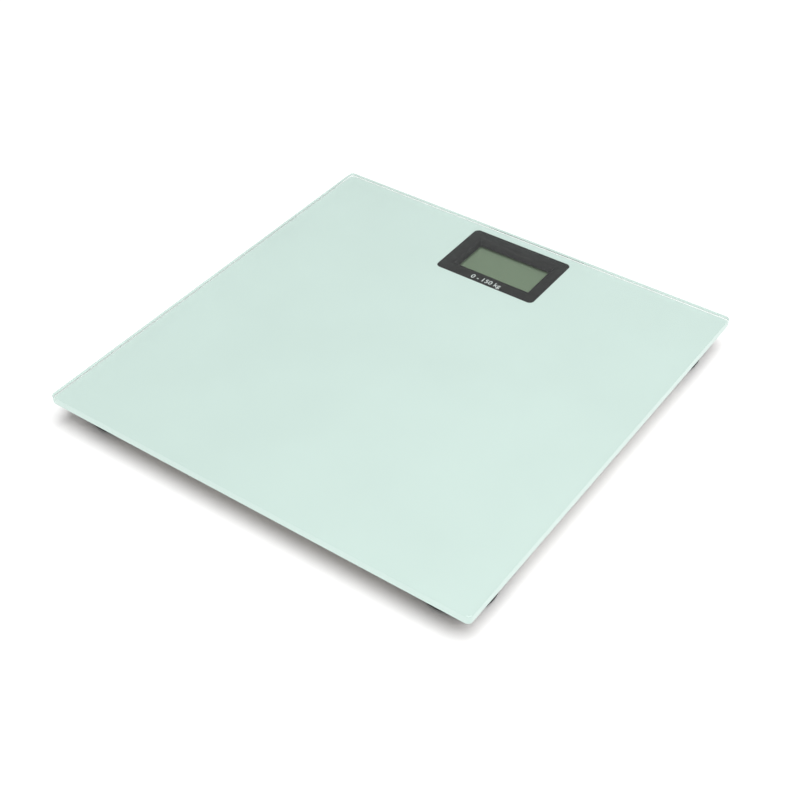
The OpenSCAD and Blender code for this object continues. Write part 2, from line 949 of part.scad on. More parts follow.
glass_platform();
back_print();
housing_tape();
display_bezel();
lcd_panel();
lcd_connector();
circuit_board();
board_chip();
board_components();
unit_switch();
switch_plunger();
unit_button();
display_housing();
housing_screws();
battery_door();
coin_cell();
contact_positive();
contact_negative();
side_duct(-1);  // left_side_duct
side_duct(1);  // right_side_duct
rear_duct(-1);  // left_rear_duct
rear_duct(1);  // right_rear_duct
foot_tape(-1, -1);  // front_left_foot_tape
foot_tape(1, -1);  // front_right_foot_tape
foot_tape(-1, 1);  // rear_left_foot_tape
foot_tape(1, 1);  // rear_right_foot_tape
foot_housing(-1, -1);  // front_left_foot_housing
foot_housing(1, -1);  // front_right_foot_housing
foot_housing(-1, 1);  // rear_left_foot_housing
foot_housing(1, 1);  // rear_right_foot_housing
load_cell(-1, -1);  // front_left_load_cell
load_cell(1, -1);  // front_right_load_cell
load_cell(-1, 1);  // rear_left_load_cell
load_cell(1, 1);  // rear_right_load_cell
strain_gauge(-1, -1);  // front_left_strain_gauge
strain_gauge(1, -1);  // front_right_strain_gauge
strain_gauge(-1, 1);  // rear_left_strain_gauge
strain_gauge(1, 1);  // rear_right_strain_gauge
front_wires(-1);  // front_left_wires
front_wires(1);  // front_right_wires
rear_wires(-1);  // rear_left_wires
rear_wires(1);  // rear_right_wires
foot_cap(-1, -1);  // front_left_foot_cap
foot_cap(1, -1);  // front_right_foot_cap
foot_cap(-1, 1);  // rear_left_foot_cap
foot_cap(1, 1);  // rear_right_foot_cap
foot_pad(-1, -1);  // front_left_foot_pad
foot_pad(1, -1);  // front_right_foot_pad
foot_pad(-1, 1);  // rear_left_foot_pad
foot_pad(1, 1);  // rear_right_foot_pad
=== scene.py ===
import json
import math

import bpy
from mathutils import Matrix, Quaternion, Vector

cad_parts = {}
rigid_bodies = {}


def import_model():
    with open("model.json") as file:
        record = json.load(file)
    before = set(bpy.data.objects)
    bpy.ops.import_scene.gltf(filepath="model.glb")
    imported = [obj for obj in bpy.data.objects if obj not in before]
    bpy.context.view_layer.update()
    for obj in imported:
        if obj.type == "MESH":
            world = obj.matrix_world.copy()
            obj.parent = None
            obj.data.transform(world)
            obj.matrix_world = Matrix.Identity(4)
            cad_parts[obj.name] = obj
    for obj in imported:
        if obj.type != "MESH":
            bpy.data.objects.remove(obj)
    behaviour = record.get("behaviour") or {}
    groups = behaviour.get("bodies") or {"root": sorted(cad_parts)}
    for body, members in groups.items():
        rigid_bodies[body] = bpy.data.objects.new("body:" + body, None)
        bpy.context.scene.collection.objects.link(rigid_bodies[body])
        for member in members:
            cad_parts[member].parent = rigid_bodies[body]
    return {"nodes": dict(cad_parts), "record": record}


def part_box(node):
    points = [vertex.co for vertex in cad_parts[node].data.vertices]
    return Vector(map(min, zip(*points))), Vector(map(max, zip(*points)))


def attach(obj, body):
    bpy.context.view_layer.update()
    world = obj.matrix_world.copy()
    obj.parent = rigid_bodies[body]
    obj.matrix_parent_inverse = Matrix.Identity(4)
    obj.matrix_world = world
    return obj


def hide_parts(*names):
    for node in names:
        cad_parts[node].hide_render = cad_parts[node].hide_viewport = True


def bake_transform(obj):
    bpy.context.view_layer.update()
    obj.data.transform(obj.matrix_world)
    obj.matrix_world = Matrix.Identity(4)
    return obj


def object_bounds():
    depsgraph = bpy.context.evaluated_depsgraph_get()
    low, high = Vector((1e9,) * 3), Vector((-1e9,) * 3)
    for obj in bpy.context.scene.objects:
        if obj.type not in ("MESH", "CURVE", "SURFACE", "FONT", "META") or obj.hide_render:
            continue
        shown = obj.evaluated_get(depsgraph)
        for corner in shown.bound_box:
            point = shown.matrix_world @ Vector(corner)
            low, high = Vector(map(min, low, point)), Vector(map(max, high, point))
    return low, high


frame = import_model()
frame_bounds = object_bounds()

bl_info = {
    "name": "Glass bathroom scale",
    "version": (1, 0, 0),
    "blender": (4, 5, 0),
    "location": "View3D > Sidebar > Scale",
    "description": "Builds the pieces and finishes of a glass bathroom scale around its frame",
    "category": "Add Mesh",
}

MM = 0.001
CORNERS = ("front_left", "front_right", "rear_left", "rear_right")
SEAM = 1e-6  # corners of a CAD mesh closer than this are the same corner
FLAT = math.radians(1)  # neighbouring faces within this angle are one flat face
CREASE = math.radians(32)  # edges that turn by more than this are rounded
FUSED = 1e-5  # how far a glass layer reaches into the enamel or film that is bonded to it
DOWN = -0.5  # a face whose normal has a lower z than this faces the floor
NOISE = (0.3, 0.7)  # most of a noise pattern lies between these
STREAK = 0.06  # how dense a metal's streaks are along their length, against across them

# facets across each rounding, and cuts along a part that bends
EDGE_FACETS = 3
CORNER_FACETS = 8
ARRIS_FACETS = 4
MOUTH_FACETS = 6
BEND_SLICES = 8

# the stage, in metres and watts: the lamp hangs where the camera sees no image of it in the glass
FLOOR_WIDTH = 2.4
LAMP_PLACE = (0.8, -0.2, 3)
LAMP_WIDTH = 3.4
LAMP_POWER = 133
SENSOR_MM = 36
NEAR_CLIP = 0.01


# ---------------------------------------------------------------- sizes and colours


def length(name, description, default):
    """A size in metres, given in millimetres."""
    return bpy.props.FloatProperty(
        name=name, description=description, default=default * MM, unit="LENGTH", precision=5,
    )


def srgb(hex_code):
    """A colour given as sRGB hex, as the linear red, green and blue that a shader works with."""
    parts = [int(hex_code[i:i + 2], 16) / 255 for i in (1, 3, 5)]
    return tuple(p / 12.92 if p <= 0.04045 else ((p + 0.055) / 1.055) ** 2.4 for p in parts)


def colour(name, description, hex_code):
    """A colour that a user can change, given as sRGB hex."""
    return bpy.props.FloatVectorProperty(
        name=name, description=description, default=srgb(hex_code), subtype="COLOR",
        size=3, min=0, max=1,
    )


class ScaleSizes(bpy.types.PropertyGroup):
    """Sizes of the details that finish the pieces"""

    glass_corner: length("Glass corner", "Radius of the platform's corners in plan", 3)
    glass_arris: length("Glass arris", "Width of the rounded, polished edge of the glass", 0.9)
    bezel_round: length("Bezel rounding", "Radius of the bezel's moulded edges", 0.3)
    mouth_round: length("Mouth rounding", "Radius where the bezel turns into its mouth", 2)
    case_round: length("Case rounding", "Radius of the moulded edges of the housings", 0.35)
    trim_round: length("Trim rounding", "Radius of the edges of small mouldings", 0.15)
    sheet_round: length("Sheet rounding", "Radius of the edges of metal parts", 0.08)
    reflector: length("Reflector", "Thickness of the reflector under the display's glass", 0.3)
    tongue_root: length("Tongue root", "From a foot's middle to its load cell tongue's root", 8.9)
    tongue_tip: length("Tongue tip", "From a foot's middle to the slot past the tongue's tip", 7.2)
    tongue_side: length("Tongue side", "From a foot's middle to the slots beside the tongue", 6.2)
    boss: length("Boss", "Radius of the boss that lifts a load cell's tongue", 2.5)
    legend_size: length("Legend size", "Size of the printed characters on the bezel", 5.6)
    legend_gap: length("Legend gap", "From the middle of the characters to the display", 5.1)
    ink: length("Ink", "Thickness of the printed characters", 0.04)


class ScaleColours(bpy.types.PropertyGroup):
    """Colours of the scale's materials"""

    glass: colour("Glass", "Tint of the clear glass", "#FAFDFC")
    enamel: colour("Enamel", "Mint-white enamel behind the glass", "#C4D5CF")
    backing: colour("Backing", "Grey coat that protects the enamel from below", "#C9C5BE")
    bezel: colour("Bezel", "Charcoal plastic round the display", "#101010")
    display: colour("Display", "Blank liquid crystal display", "#67775F")
    case: colour("Case", "Black plastic of the housings and the feet", "#26272A")
    button: colour("Button", "Grey plastic of the unit button", "#7C7F84")
    duct: colour("Duct", "White plastic of the wire ducts", "#DDE3E0")
    rubber: colour("Rubber", "Dark grey rubber of the foot pads", "#3A3B3D")
    tape: colour("Tape", "Pale foam tape", "#D8D6CF")
    ink: colour("Ink", "White printed characters", "#E4E7E6")


class ScaleStage(bpy.types.PropertyGroup):
    """Where the scale is seen from and how it is lit"""

    azimuth: bpy.props.FloatProperty(
        name="Azimuth", description="Camera's turn round the scale", unit="ROTATION",
        default=math.radians(35.944),
    )
    elevation: bpy.props.FloatProperty(
        name="Elevation", description="Camera's height angle", unit="ROTATION",
        default=math.radians(41.337),
    )
    roll: bpy.props.FloatProperty(
        name="Roll", description="Camera's tilt to one side", unit="ROTATION",
        default=math.radians(-0.709),
    )
    distance: length("Distance", "From the camera to the point that it looks at", 838.73)
    aim_x: length("Aim X", "Point on the glass that the camera looks at", 24.24)
    aim_y: length("Aim Y", "Point on the glass that the camera looks at", -34.19)
    lens: bpy.props.FloatProperty(
        name="Lens", description="Focal length on a 36 mm sensor, in millimetres", default=63.7,
    )
    sky: bpy.props.FloatProperty(
        name="Sky", description="Strength of the white surround", default=0.3, min=0,
    )


SETTINGS = (ScaleSizes, ScaleColours, ScaleStage)


def sizes():
    return bpy.context.scene.scale_sizes


def colours():
    return bpy.context.scene.scale_colours


# ---------------------------------------------------------------- shared tools


def only(piece):
    """Leaves just this piece selected and active, in object mode."""
    if bpy.context.object and bpy.context.object.mode != "OBJECT":
        bpy.ops.object.mode_set(mode="OBJECT")
    bpy.ops.object.select_all(action="DESELECT")
    piece.hide_viewport = False
    piece.select_set(True)
    bpy.context.view_layer.objects.active = piece


def settle(piece):
    """Puts the piece's place, turn and size into its mesh."""
    only(piece)
    bpy.ops.object.transform_apply(location=True, rotation=True, scale=True)


def started(name, add, **place):
    """A new piece from one of Blender's primitives, named, with its place in its mesh."""
    bpy.ops.object.select_all(action="DESELECT")
    add(**place)
    piece = bpy.context.object
    piece.name = piece.data.name = name
    settle(piece)
    return piece


def block(name, low, high):
    """A box between two corners, ready for shaping."""
    low, high = Vector(low), Vector(high)
    return started(
        name, bpy.ops.mesh.primitive_cube_add, size=1, location=(low + high) / 2, scale=high - low
    )


def pick(piece, kind, test):
    """Leaves the piece in edit mode with only the edges or faces that pass the test selected."""
    only(piece)
    bpy.ops.object.mode_set(mode="EDIT")
    bpy.ops.mesh.select_mode(type=kind)
    bpy.ops.mesh.select_all(action="DESELECT")
    bpy.ops.object.mode_set(mode="OBJECT")
    corners = [vertex.co for vertex in piece.data.vertices]
    for part in piece.data.edges if kind == "EDGE" else piece.data.polygons:
        part.select = test([corners[i] for i in part.vertices])
    bpy.ops.object.mode_set(mode="EDIT")


def welded_copy(node):
    """A copy of a CAD node with its corners merged."""
    piece = bpy.data.objects.new(node + "_finished", frame["nodes"][node].data.copy())
    bpy.context.scene.collection.objects.link(piece)
    only(piece)
    bpy.ops.object.mode_set(mode="EDIT")
    bpy.ops.mesh.select_all(action="SELECT")
    bpy.ops.mesh.remove_doubles(threshold=SEAM)
    bpy.ops.object.mode_set(mode="OBJECT")
    return piece


def join_flats(piece):
    """Joins the triangles of each flat face."""
    only(piece)
    bpy.ops.object.mode_set(mode="EDIT")
    bpy.ops.mesh.select_all(action="SELECT")
    bpy.ops.mesh.dissolve_limited(angle_limit=FLAT)
    bpy.ops.object.mode_set(mode="OBJECT")


def merged_copy(node):
    """A copy of a CAD node with its corners merged and its flat faces joined."""
    piece = welded_copy(node)
    join_flats(piece)
    return piece


def round_edges(piece, width):
    """Rounds every edge that turns by more than the facets of a curve do."""
    only(piece)
    rounding = piece.modifiers.new("Rounding", "BEVEL")
    rounding.width = width
    rounding.segments = EDGE_FACETS
    rounding.limit_method = "ANGLE"
    rounding.angle_limit = CREASE
    bpy.ops.object.modifier_apply(modifier=rounding.name)


def rounded(node, width):
    """A copy of a CAD node with its edges rounded."""
    piece = merged_copy(node)
    round_edges(piece, width)
    return piece


def trim(piece, cutter, operation):
    """Keeps what lies outside the cutter, or only what lies inside it."""
    only(piece)
    cut = piece.modifiers.new("Trim", "BOOLEAN")
    cut.solver = "EXACT"
    cut.operation = operation
    cut.object = cutter
    bpy.ops.object.modifier_apply(modifier=cut.name)


def slice_along(piece, start, end, count):
    """Cuts a piece across into slices from one point to another, so that it can bend there."""
    only(piece)
    bpy.ops.object.mode_set(mode="EDIT")
    for step in range(1, count):
        bpy.ops.mesh.select_all(action="SELECT")
        bpy.ops.mesh.bisect(plane_co=start.lerp(end, step / count), plane_no=end - start)
    bpy.ops.object.mode_set(mode="OBJECT")


def clothe(piece, material, smooth=30):
    """Shades a piece smooth up to an angle, its flat faces flat, and gives it one material."""
    only(piece)
    bpy.ops.object.shade_smooth_by_angle(angle=math.radians(smooth))
    flatness = piece.modifiers.new("Flatness", "WEIGHTED_NORMAL")
    flatness.keep_sharp = True
    bpy.ops.object.modifier_apply(modifier=flatness.name)
    piece.data.materials.clear()
    piece.data.materials.append(material)


def carrier(node):
    """The name of the body that carries a CAD node."""
    bodies = frame["record"]["behaviour"]["bodies"]
    return next(body for body, nodes in bodies.items() if node in nodes)


def finished(piece, node, material, smooth=30, bend=None):
    """Clothes a piece that stands for a CAD node and puts it on the same body, or, for a piece
    that is to bend between two bodies, puts its place into its mesh and leaves it on no body."""
    clothe(piece, material, smooth)
    if bend:
        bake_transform(piece)
    else:
        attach(piece, carrier(node))
    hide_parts(node)
    return piece


def dress(material, *nodes):
    """Gives CAD nodes their material."""
    for node in nodes:
        slots = frame["nodes"][node].data.materials
        slots.clear()
        slots.append(material)


# ---------------------------------------------------------------- materials


def add_node(tree, kind, inputs=None, **settings):
    """Adds a node with its settings and inputs. An input's value may be an output to link."""
    made = tree.nodes.new(kind)
    for name, value in settings.items():
        setattr(made, name, value)
    for name, value in (inputs or {}).items():
        if isinstance(value, bpy.types.NodeSocket):
            tree.links.new(value, made.inputs[name])
        else:
            made.inputs[name].default_value = value
    return made


def pattern_scale(size_mm):
    """The texture scale at which one feature of a pattern is this many millimetres wide."""
    return 1 / (size_mm * MM)


def new_material(name, base, roughness, **surface):
    """A material with one Principled shader: the material, its tree, shader and coordinates."""
    material = bpy.data.materials.new(name)
    material.use_nodes = True
    tree = material.node_tree
    tree.nodes.clear()
    inputs = {"Base Color": (*base, 1), "Roughness": roughness}
    inputs.update({key.replace("_", " "): value for key, value in surface.items()})
    shader = add_node(tree, "ShaderNodeBsdfPrincipled", inputs)
    add_node(tree, "ShaderNodeOutputMaterial", {"Surface": shader.outputs["BSDF"]})
    place = add_node(tree, "ShaderNodeTexCoord").outputs["Object"]
    return material, tree, shader, place


def grain(tree, place, size_mm, detail=2.0):
    """Noise whose grains are this many millimetres across, from 0 to 1."""
    inputs = {"Vector": place, "Scale": pattern_scale(size_mm), "Detail": detail}
    return add_node(tree, "ShaderNodeTexNoise", inputs).outputs["Fac"]


def vary(tree, shader, socket, pattern, low, high):
    """Varies a number of the shader between two values with a pattern."""
    start, end = NOISE
    inputs = {"Value": pattern, "From Min": start, "From Max": end, "To Min": low, "To Max": high}
    spread = add_node(tree, "ShaderNodeMapRange", inputs)
    tree.links.new(spread.outputs["Result"], shader.inputs[socket])


def shade(base, factor):
    """The same colour made lighter or darker."""
    return tuple(min(1.0, part * factor) for part in base)


def tint(tree, shader, pattern, dark, light, span=NOISE):
    """Varies the shader's colour between two near shades with a pattern."""
    ramp = add_node(tree, "ShaderNodeValToRGB", {"Fac": pattern})
    for element, position, tone in zip(ramp.color_ramp.elements, span, (dark, light)):
        element.position = position
        element.color = (*tone, 1)
    tree.links.new(ramp.outputs["Color"], shader.inputs["Base Color"])


def relief(tree, shader, height, depth_mm):
    """Bump of a real depth from a pattern."""
    bump = add_node(tree, "ShaderNodeBump", {"Height": height, "Distance": depth_mm * MM})
    tree.links.new(bump.outputs["Normal"], shader.inputs["Normal"])


def clear_glass(name, clear, ior, patch_mm, smoothest, roughest):
    """A clear material. Light from lamps and from what lies behind it goes straight through, so
    the layer that it lies on is neither shaded nor lit twice."""
    material, tree, shader, place = new_material(
        name, clear, smoothest, IOR=ior, Transmission_Weight=1.0,
    )
    vary(tree, shader, "Roughness", grain(tree, place, patch_mm), smoothest, roughest)
    through = add_node(tree, "ShaderNodeBsdfTransparent", {"Color": (*clear, 1)}).outputs[0]
    rays = add_node(tree, "ShaderNodeLightPath").outputs
    seen = shader.outputs[0]
    for kind in ("Is Shadow Ray", "Is Diffuse Ray"):
        mix = add_node(tree, "ShaderNodeMixShader", {0: rays[kind], 1: seen, 2: through})
        seen = mix.outputs[0]
    output = next(node for node in tree.nodes if node.type == "OUTPUT_MATERIAL")
    tree.links.new(seen, output.inputs["Surface"])
    return material


def polished_float_glass():
    """Toughened float glass, fire-smooth on its faces and polished on its edges: clear, very
    faintly green, with a sharp reflection."""
    return clear_glass("polished_float_glass", colours().glass, 1.52, 45, 0.0, 0.02)


def polarised_cell_glass():
    """Thin display glass under an anti-glare polariser film: clear, with a satin reflection."""
    return clear_glass("polarised_cell_glass", (0.97, 0.98, 0.96), 1.5, 8, 0.1, 0.16)


def screen_printed_enamel():
    """Ceramic enamel printed through a mesh and fired: flat, faintly cloudy, with the mesh's
    stipple. The real threads are 0.06 mm apart, drawn here at 0.5 mm to show."""
    enamel = colours().enamel
    material, tree, shader, place = new_material("screen_printed_enamel", enamel, 0.45)
    tint(tree, shader, grain(tree, place, 60), shade(enamel, 0.985), shade(enamel, 1.015))
    relief(tree, shader, grain(tree, place, 0.5), 0.004)
    return material


def moulded_abs(name, base, grain_mm, depth_mm, rough, sheen=0.5):
    """ABS moulded in a spark-eroded tool: an even fine grain, satin, a little uneven in gloss.
    The finest grain scatters light before it is seen as gloss, which a low sheen stands for."""
    material, tree, shader, place = new_material(
        name, base, rough, IOR=1.53, Specular_IOR_Level=sheen,
    )
    tint(tree, shader, grain(tree, place, 14), shade(base, 0.96), shade(base, 1.04))
    erosion = grain(tree, place, grain_mm)
    vary(tree, shader, "Roughness", erosion, rough - 0.07, rough + 0.08)
    relief(tree, shader, erosion, depth_mm)
    return material


def display_reflector():
    """The grey-green reflector film at the back of a blank liquid crystal cell: satin, with a
    fine sparkle."""
    base = colours().display
    material, tree, shader, place = new_material("display_reflector_film", base, 0.5)
    tint(tree, shader, grain(tree, place, 0.35), shade(base, 0.96), shade(base, 1.04))
    vary(tree, shader, "Roughness", grain(tree, place, 8), 0.45, 0.55)
    return material


def moulded_rubber():
    """Thermoplastic rubber moulded in a blasted tool: matte, with scuffs and a dusty bloom."""
    base = colours().rubber
    material, tree, shader, place = new_material("moulded_rubber", base, 0.85, IOR=1.5)
    tint(tree, shader, grain(tree, place, 5, 4.0), shade(base, 0.8), shade(base, 1.3))
    blast = grain(tree, place, 0.4)
    vary(tree, shader, "Roughness", blast, 0.75, 0.92)
    relief(tree, shader, blast, 0.03)
    return material


def board_laminate():
    """Glass-epoxy laminate under green solder mask: the copper under it shows as paler areas
    with dark gaps between them."""
    copper = srgb("#1F7A45")
    material, tree, shader, place = new_material("masked_board_laminate", copper, 0.3)
    inputs = {"Vector": place, "Scale": pattern_scale(4), "Randomness": 0.35}
    cells = add_node(tree, "ShaderNodeTexVoronoi", inputs, feature="DISTANCE_TO_EDGE")
    gaps = cells.outputs["Distance"]
    tint(tree, shader, gaps, srgb("#0E4426"), copper, (0.06, 0.09))
    relief(tree, shader, gaps, 0.02)
    return material


def plated_metal(name, hex_code, rough, streak_mm):
    """Rolled sheet or drawn bar with bright nickel or zinc plating: soft streaks one way."""
    base = srgb(hex_code)
    material, tree, shader, place = new_material(name, base, rough, Metallic=1.0)
    long_way = add_node(tree, "ShaderNodeMapping", {"Vector": place, "Scale": (1, STREAK, 1)})
    streaks = grain(tree, long_way.outputs["Vector"], streak_mm, 3.0)
    tint(tree, shader, streaks, shade(base, 0.88), shade(base, 1.06))
    vary(tree, shader, "Roughness", streaks, rough - 0.08, rough + 0.1)
    relief(tree, shader, streaks, 0.004)
    return material


def fine_finish(name, base, rough, grain_mm, spread=0.12, depth_mm=0.01):
    """A small part's own finish: its colour a little uneven, over a fine moulded or cast grain."""
    material, tree, shader, place = new_material(name, base, rough)
    pattern = grain(tree, place, grain_mm)
    tint(tree, shader, pattern, shade(base, 1 - spread), shade(base, 1 + spread))
    vary(tree, shader, "Roughness", pattern, rough - 0.05, rough + 0.05)
    relief(tree, shader, pattern, depth_mm)
    return material


# ---------------------------------------------------------------- operators


class BuildGlass(bpy.types.Operator):
    """Models the toughened glass platform with rounded corners and polished edges"""

    bl_idname = "scale.build_glass"
    bl_label = "Glass platform"

    def execute(self, context):
        low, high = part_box("glass_platform")
        slab = block("glass_slab", low - Vector((0, 0, FUSED)), high)
        pick(slab, "EDGE", lambda ends: abs(ends[0].z - ends[1].z) > SEAM)
        bpy.ops.mesh.bevel(
            offset=sizes().glass_corner, segments=CORNER_FACETS, affect="EDGES"
        )
        pick(slab, "EDGE", lambda ends: abs(ends[0].z - ends[1].z) < SEAM)
        bpy.ops.mesh.bevel(
            offset=sizes().glass_arris, segments=ARRIS_FACETS, affect="EDGES"
        )
        finished(slab, "glass_platform", polished_float_glass(), smooth=40)
        self.finish_print()
        return {"FINISHED"}

    def finish_print(self):
        """Enamel where the print meets the glass, and a plain protective coat below."""
        coat = fine_finish("protective_backing_coat", colours().backing, 0.6, 0.5, 0.03, 0.004)
        enamel_print = frame["nodes"]["back_print"]
        dress(screen_printed_enamel(), "back_print")
        enamel_print.data.materials.append(coat)
        for face in enamel_print.data.polygons:
            face.material_index = 1 if face.normal.z < DOWN else 0


class BuildDisplay(bpy.types.Operator):
    """Finishes the bezel, the blank display and the printed characters"""

    bl_idname = "scale.build_display"
    bl_label = "Display"

    def execute(self, context):
        self.build_bezel()
        self.build_cell()
        self.print_legend()
        return {"FINISHED"}

    def build_bezel(self):
        """The bezel, with a broad rounding where its face turns down into the mouth."""
        bezel = merged_copy("display_bezel")
        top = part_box("display_bezel")[1].z
        low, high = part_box("lcd_panel")

        def on_rim(ends):
            return all(
                abs(end.z - top) < SEAM and low.x < end.x < high.x and low.y < end.y < high.y
                for end in ends
            )

        pick(bezel, "EDGE", on_rim)
        bpy.ops.mesh.bevel(
            offset=sizes().mouth_round, segments=MOUTH_FACETS, affect="EDGES"
        )
        bpy.ops.object.mode_set(mode="OBJECT")
        round_edges(bezel, sizes().bezel_round)
        satin = moulded_abs("satin_moulded_abs", colours().bezel, 0.3, 0.006, 0.45, 0.2)
        finished(bezel, "display_bezel", satin)

    def build_cell(self):
        """The display as it is layered: clear glass on a reflector, which the lip shades."""
        low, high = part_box("lcd_panel")
        level = low.z + sizes().reflector
        layers = (
            ("lcd_reflector", low, (high.x, high.y, level), display_reflector()),
            ("lcd_glass", (low.x, low.y, level - FUSED), high, polarised_cell_glass()),
        )
        for name, bottom, top, material in layers:
            layer = block(name, bottom, top)
            round_edges(layer, sizes().sheet_round)
            finished(layer, "lcd_panel", material)

    def print_legend(self):
        """A short generic weighing range in plain characters on the bezel's front strip."""
        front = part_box("lcd_panel")[0].y
        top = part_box("display_bezel")[1].z
        bpy.ops.object.select_all(action="DESELECT")
        bpy.ops.object.text_add(location=(0, front - sizes().legend_gap, top))
        legend = bpy.context.object
        legend.name = "range_legend"
        legend.data.body = "0 - 150 kg"
        legend.data.size = sizes().legend_size
        legend.data.align_x = legend.data.align_y = "CENTER"
        legend.data.extrude = sizes().ink / 2
        bpy.ops.object.convert(target="MESH")
        settle(legend)
        ink = fine_finish("pad_printed_ink", colours().ink, 0.6, 0.4, 0.06, 0.002)
        clothe(legend, ink)
        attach(legend, "platform")


class BuildElectronics(bpy.types.Operator):
    """Finishes the circuit board, its parts, the switch, the contacts and the coin cell"""

    bl_idname = "scale.build_electronics"
    bl_label = "Electronics"

    def execute(self, context):
        dress(board_laminate(), "circuit_board")
        dress(fine_finish("glob_top_epoxy", srgb("#111112"), 0.25, 3), "board_chip")
        dress(fine_finish("fired_chip_ceramic", srgb("#8C7558"), 0.5, 0.4), "board_components")
        dress(fine_finish("layered_silicone", srgb("#46464A"), 0.7, 0.3), "lcd_connector")
        dress(plated_metal("stamped_switch_steel", "#B9BABB", 0.35, 0.5), "unit_switch")
        dress(fine_finish("moulded_black_nylon", srgb("#141415"), 0.5, 0.3), "switch_plunger")
        nickel = plated_metal("nickel_plated_can", "#C4C4C2", 0.25, 0.6)
        finished(rounded("coin_cell", sizes().sheet_round), "coin_cell", nickel)
        spring = plated_metal("plated_spring_steel", "#C9C3B2", 0.3, 0.4)
        dress(spring, "contact_positive", "contact_negative")
        return {"FINISHED"}


class BuildHousing(bpy.types.Operator):
    """Finishes the display housing, the battery door, the unit button, the screws and the tape"""

    bl_idname = "scale.build_housing"
    bl_label = "Housing"

    def execute(self, context):
        eroded = moulded_abs("spark_eroded_abs", colours().case, 0.45, 0.02, 0.5)
        finished(rounded("display_housing", sizes().case_round), "display_housing", eroded)
        finished(rounded("battery_door", sizes().trim_round), "battery_door", eroded)
        grey = moulded_abs("grey_moulded_abs", colours().button, 0.4, 0.01, 0.45)
        finished(rounded("unit_button", sizes().trim_round), "unit_button", grey)
        zinc = plated_metal("zinc_plated_steel", "#B5B7BA", 0.3, 0.3)
        finished(rounded("housing_screws", sizes().sheet_round), "housing_screws", zinc)
        foam = fine_finish("die_cut_foam_tape", colours().tape, 0.9, 0.35, 0.08, 0.04)
        dress(foam, "housing_tape", *(corner + "_foot_tape" for corner in CORNERS))
        return {"FINISHED"}


class BuildWiring(bpy.types.Operator):
    """Finishes the wire ducts, and colours each foot's three wires"""

    bl_idname = "scale.build_wiring"
    bl_label = "Wiring"

    def execute(self, context):
        white = moulded_abs("extruded_pvc", colours().duct, 1.2, 0.01, 0.4)
        for duct in ("left_side_duct", "right_side_duct", "left_rear_duct", "right_rear_duct"):
            finished(rounded(duct, sizes().trim_round), duct, white)
        insulation = [
            fine_finish(name + "_pvc_insulation", srgb(tone), 0.4, 2)
            for name, tone in (("red", "#B4231D"), ("white", "#DAD9D4"), ("black", "#1C1C1D"))
        ]
        for corner in CORNERS:
            self.colour_wires(corner + "_wires", insulation)
        return {"FINISHED"}

    def colour_wires(self, node, insulation):
        """A copy of a bundle in which each loose part, which is one wire, has its own colour."""
        bundle = finished(merged_copy(node), node, insulation[0])
        for material in insulation[1:]:
            bundle.data.materials.append(material)
        left = set(range(len(bundle.data.polygons)))
        for index in range(len(insulation)):
            seed = min(left)
            pick(bundle, "FACE", lambda corners: False)
            bpy.ops.object.mode_set(mode="OBJECT")
            bundle.data.polygons[seed].select = True
            bpy.ops.object.mode_set(mode="EDIT")
            bpy.ops.mesh.select_linked()
            bpy.ops.object.mode_set(mode="OBJECT")
            wire = {face.index for face in bundle.data.polygons if face.select}
            for face in wire:
                bundle.data.polygons[face].material_index = index
            left -= wire


class BuildFeet(bpy.types.Operator):
    """Finishes the four feet: housings, caps, rubber pads, load cells and strain gauges"""

    bl_idname = "scale.build_feet"
    bl_label = "Feet"

    def execute(self, context):
        eroded = bpy.data.materials["spark_eroded_abs"]
        rubber = moulded_rubber()
        steel = plated_metal("stamped_alloy_steel", "#AEB2B6", 0.35, 0.8)
        silicone = fine_finish("white_silicone", srgb("#E6E6E0"), 0.5, 1.5, 0.03)
        finishes = (
            ("_foot_housing", sizes().case_round, eroded),
            ("_foot_cap", sizes().case_round, eroded),
            ("_foot_pad", sizes().trim_round, rubber),
        )
        for corner in CORNERS:
            for kind, width, material in finishes:
                finished(rounded(corner + kind, width), corner + kind, material)
            self.build_load_cell(corner, steel, silicone)
        return {"FINISHED"}

    def build_load_cell(self, corner, steel, silicone):
        """A load cell whose tongue, with the gauge on it, is cut free of its rim and sliced across
        from its root to where the foot's boss lifts it.
        """
        cell, gauge = corner + "_load_cell", corner + "_strain_gauge"
        low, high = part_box(cell)
        middle = (low + high) / 2
        gauge_low, gauge_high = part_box(gauge)
        way = (gauge_low + gauge_high) / 2 - middle
        way.z = 0
        way.normalize()
        root = middle + way * sizes().tongue_root
        lifted = middle + way * sizes().boss
        side = way.cross(Vector((0, 0, 1))) * sizes().tongue_side
        above = Vector((0, 0, high.z - low.z))
        ends = (root + side + above, middle - way * sizes().tongue_tip - side - above)
        cutter = block("tongue_cutter", map(min, *ends), map(max, *ends))
        bend = ("platform", corner + "_foot", root, lifted)
        rim, tongue = welded_copy(cell), welded_copy(cell)
        tongue.name = cell + "_tongue"
        for piece, operation in ((rim, "DIFFERENCE"), (tongue, "INTERSECT")):
            trim(piece, cutter, operation)
            join_flats(piece)
            round_edges(piece, sizes().sheet_round)
        bpy.data.objects.remove(cutter)
        finished(rim, cell, steel)
        potting = merged_copy(gauge)
        for piece, node, material in ((tongue, cell, steel), (potting, gauge, silicone)):
            slice_along(piece, root, lifted, BEND_SLICES)
            finished(piece, node, material, bend=bend)


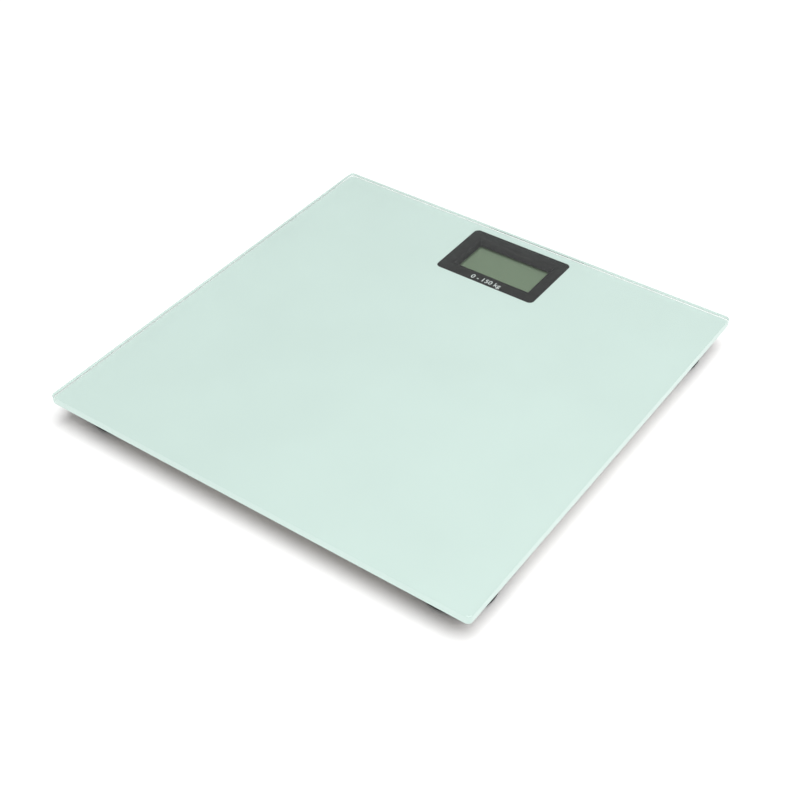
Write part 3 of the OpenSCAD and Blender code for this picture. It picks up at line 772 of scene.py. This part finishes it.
class BuildStage(bpy.types.Operator):
    """Sets the camera, the pale floor, the white surround and the soft lamp"""

    bl_idname = "scale.build_stage"
    bl_label = "Stage"

    def execute(self, context):
        stage = context.scene.scale_stage
        context.scene.view_settings.view_transform = "Standard"
        self.set_camera(stage)
        self.set_floor()
        self.set_light(stage)
        return {"FINISHED"}

    def set_camera(self, stage):
        """The camera looks at a point on the glass from a turn, a height angle and a distance."""
        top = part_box("glass_platform")[1].z
        target = Vector((stage.aim_x, stage.aim_y, top))
        turn = (math.sin(stage.azimuth), -math.cos(stage.azimuth))
        flat, up = math.cos(stage.elevation), math.sin(stage.elevation)
        back = Vector((turn[0] * flat, turn[1] * flat, up))
        data = bpy.data.cameras.new("camera")
        camera = bpy.data.objects.new("camera", data)
        bpy.context.scene.collection.objects.link(camera)
        camera.location = target + back * stage.distance
        camera.rotation_mode = "QUATERNION"
        tilt = Quaternion((0, 0, 1), stage.roll)
        camera.rotation_quaternion = back.to_track_quat("Z", "Y") @ tilt
        data.lens = stage.lens
        data.sensor_width = SENSOR_MM
        data.clip_start = NEAR_CLIP
        bpy.context.scene.camera = camera

    def set_floor(self):
        """A flat floor of white card, no wider than the lamp lights it evenly."""
        middle = (0, 0, frame_bounds[0][2])
        floor = started(
            "floor", bpy.ops.mesh.primitive_plane_add, size=FLOOR_WIDTH, location=middle
        )
        card = srgb("#FBFBFB")
        material, tree, shader, place = new_material("white_floor_card", card, 0.9)
        tint(tree, shader, grain(tree, place, 400), card, srgb("#FDFDFD"))
        floor.data.materials.append(material)

    def set_light(self, stage):
        """A white surround, seen as a white backdrop, and a large soft lamp."""
        world = bpy.data.worlds.new("surround")
        bpy.context.scene.world = world
        world.use_nodes = True
        tree = world.node_tree
        tree.nodes.clear()
        rays = add_node(tree, "ShaderNodeLightPath").outputs
        white = (1, 1, 1, 1)
        light = add_node(tree, "ShaderNodeBackground", {"Color": white, "Strength": stage.sky})
        backdrop = add_node(tree, "ShaderNodeBackground", {"Color": white, "Strength": 1})
        seen = add_node(
            tree, "ShaderNodeMixShader",
            {0: rays["Is Camera Ray"], 1: light.outputs[0], 2: backdrop.outputs[0]},
        )
        add_node(tree, "ShaderNodeOutputWorld", {"Surface": seen.outputs[0]})
        self.hang_lamp()

    def hang_lamp(self):
        """A large square lamp overhead, aimed at the scale."""
        data = bpy.data.lights.new("overhead", "AREA")
        data.shape = "SQUARE"
        data.size = LAMP_WIDTH
        data.energy = LAMP_POWER
        lamp = bpy.data.objects.new("overhead", data)
        bpy.context.scene.collection.objects.link(lamp)
        lamp.location = LAMP_PLACE
        lamp.rotation_mode = "QUATERNION"
        lamp.rotation_quaternion = Vector(LAMP_PLACE).to_track_quat("Z", "Y")


PIECES = (BuildGlass, BuildDisplay, BuildElectronics, BuildHousing, BuildWiring, BuildFeet)
OPERATORS = (BuildStage, *PIECES)


class ScalePanel(bpy.types.Panel):
    """Lists the scale's settings and the steps that build it"""

    bl_idname = "VIEW3D_PT_glass_scale"
    bl_label = "Glass bathroom scale"
    bl_space_type = "VIEW_3D"
    bl_region_type = "UI"
    bl_category = "Scale"

    def draw(self, context):
        scene = context.scene
        for group in (scene.scale_sizes, scene.scale_colours, scene.scale_stage):
            box = self.layout.box()
            for name in group.bl_rna.properties.keys():
                if name not in ("rna_type", "name"):
                    box.prop(group, name)
        for operator in OPERATORS:
            self.layout.operator(operator.bl_idname)


CLASSES = (*SETTINGS, *OPERATORS, ScalePanel)


def register():
    for each in CLASSES:
        bpy.utils.register_class(each)
    bpy.types.Scene.scale_sizes = bpy.props.PointerProperty(type=ScaleSizes)
    bpy.types.Scene.scale_colours = bpy.props.PointerProperty(type=ScaleColours)
    bpy.types.Scene.scale_stage = bpy.props.PointerProperty(type=ScaleStage)


def unregister():
    del bpy.types.Scene.scale_stage
    del bpy.types.Scene.scale_colours
    del bpy.types.Scene.scale_sizes
    for each in reversed(CLASSES):
        bpy.utils.unregister_class(each)


def main():
    register()
    bpy.ops.scale.build_stage()
    bpy.ops.scale.build_glass()
    bpy.ops.scale.build_display()
    bpy.ops.scale.build_electronics()
    bpy.ops.scale.build_housing()
    bpy.ops.scale.build_wiring()
    bpy.ops.scale.build_feet()


if __name__ == "__main__":
    main()
